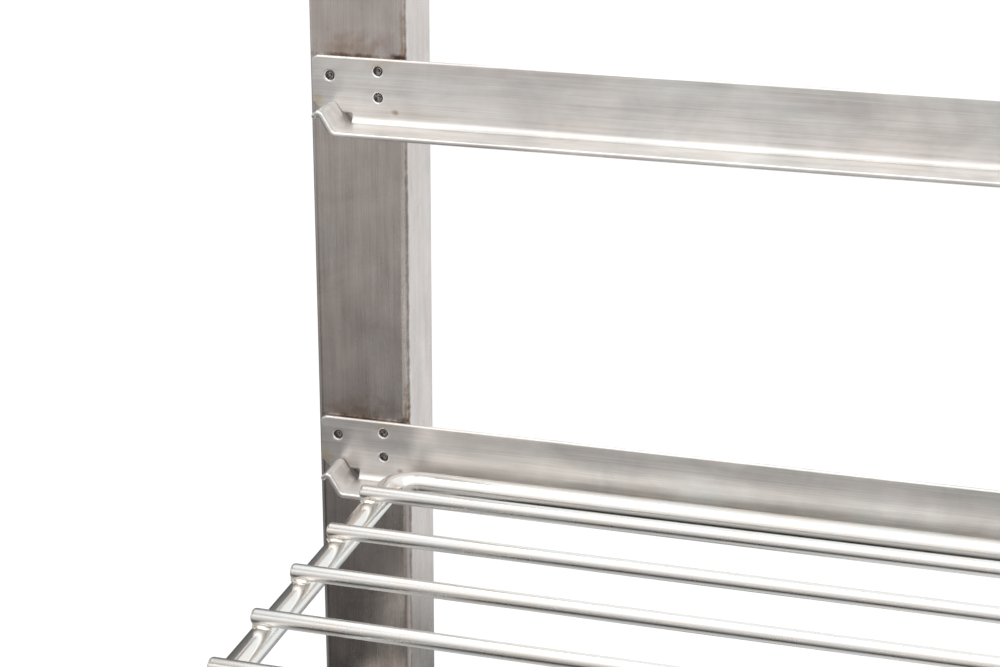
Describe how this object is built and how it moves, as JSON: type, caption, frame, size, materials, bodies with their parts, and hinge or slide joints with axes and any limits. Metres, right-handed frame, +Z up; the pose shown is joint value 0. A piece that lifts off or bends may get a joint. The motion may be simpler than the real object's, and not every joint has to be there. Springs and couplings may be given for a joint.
{
  "type": "wall mounted fold down drying rack",
  "caption": "Stainless wall frame of channel uprights and angle rails, with a wire shelf that folds up flat and rests on swing-out supports.",
  "frame": {"origin": "wall plane, midway between the uprights, level with their lower ends", "axes": "+X to the right as seen by someone facing the wall, +Y into the wall, +Z up; the rack stands at negative Y"},
  "size_m": [0.8, 0.3454, 0.6626],
  "materials": {
    "brushed_steel": "satin brushed stainless steel sheet, grain along each piece, light brown heat tint at the joints",
    "polished_steel": "polished stainless steel tube and wire",
    "fastener_steel": "plain stainless steel rivets, rings and pin",
    "nylon": "dark grey nylon sleeve"
  },
  "bodies": {
    "wall_frame": {"end_bracket_bottom_left": "brushed_steel", "end_bracket_bottom_right": "brushed_steel", "end_bracket_top_left": "brushed_steel", "end_bracket_top_right": "brushed_steel", "hinge_keeper_left": "brushed_steel", "hinge_keeper_right": "brushed_steel", "hinge_lug_lower_left": "brushed_steel", "hinge_lug_lower_right": "brushed_steel", "hinge_lug_upper_left": "brushed_steel", "hinge_lug_upper_right": "brushed_steel", "keeper_rivet_left_1": "fastener_steel", "keeper_rivet_left_2": "fastener_steel", "keeper_rivet_right_1": "fastener_steel", "keeper_rivet_right_2": "fastener_steel", "latch_pin": "fastener_steel", "latch_spacer": "fastener_steel", "middle_rail": "brushed_steel", "middle_rail_rivet_left_1": "fastener_steel", "middle_rail_rivet_left_2": "fastener_steel", "middle_rail_rivet_left_3": "fastener_steel", "middle_rail_rivet_right_1": "fastener_steel", "middle_rail_rivet_right_2": "fastener_steel", "middle_rail_rivet_right_3": "fastener_steel", "shelf_rail": "brushed_steel", "shelf_rail_rivet_left_1": "fastener_steel", "shelf_rail_rivet_left_2": "fastener_steel", "shelf_rail_rivet_left_3": "fastener_steel", "shelf_rail_rivet_right_1": "fastener_steel", "shelf_rail_rivet_right_2": "fastener_steel", "shelf_rail_rivet_right_3": "fastener_steel", "top_rail": "brushed_steel", "top_rail_rivet_left_1": "fastener_steel", "top_rail_rivet_left_2": "fastener_steel", "top_rail_rivet_left_3": "fastener_steel", "top_rail_rivet_right_1": "fastener_steel", "top_rail_rivet_right_2": "fastener_steel", "top_rail_rivet_right_3": "fastener_steel", "upright_left": "brushed_steel", "upright_right": "brushed_steel"},
    "shelf": {"shelf_centre_bar": "polished_steel", "shelf_frame": "polished_steel", "shelf_rod_1": "polished_steel", "shelf_rod_2": "polished_steel", "shelf_rod_3": "polished_steel", "shelf_rod_4": "polished_steel", "shelf_rod_5": "polished_steel", "shelf_rod_6": "polished_steel", "shelf_rod_7": "polished_steel"},
    "support_left": {"support_arm_left": "polished_steel", "support_brace_left": "polished_steel", "support_collar_left": "fastener_steel", "support_foot_ring_left": "fastener_steel", "support_sleeve_left": "nylon"},
    "support_right": {"support_arm_right": "polished_steel", "support_brace_right": "polished_steel", "support_collar_right": "fastener_steel", "support_foot_ring_right": "fastener_steel", "support_sleeve_right": "nylon"},
    "latch": {"stow_latch": "brushed_steel"}
  },
  "joints": [
    {"name": "shelf_fold", "type": "hinge", "parent": "wall_frame", "child": "shelf", "pos_m": [0, -0.0451, 0.2523], "axis": [-1, 0, 0], "range_deg": [0, 82]},
    {"name": "support_left_swing", "type": "hinge", "parent": "wall_frame", "child": "support_left", "pos_m": [-0.38, -0.061, 0.09], "axis": [0, 0, 1], "range_deg": [0, 78]},
    {"name": "support_right_swing", "type": "hinge", "parent": "wall_frame", "child": "support_right", "pos_m": [0.38, -0.061, 0.09], "axis": [0, 0, -1], "range_deg": [0, 78]},
    {"name": "latch_turn", "type": "hinge", "parent": "wall_frame", "child": "latch", "pos_m": [0, -0.044, 0.544], "axis": [0, 0, -1], "range_deg": [0, 90]}
  ]
}
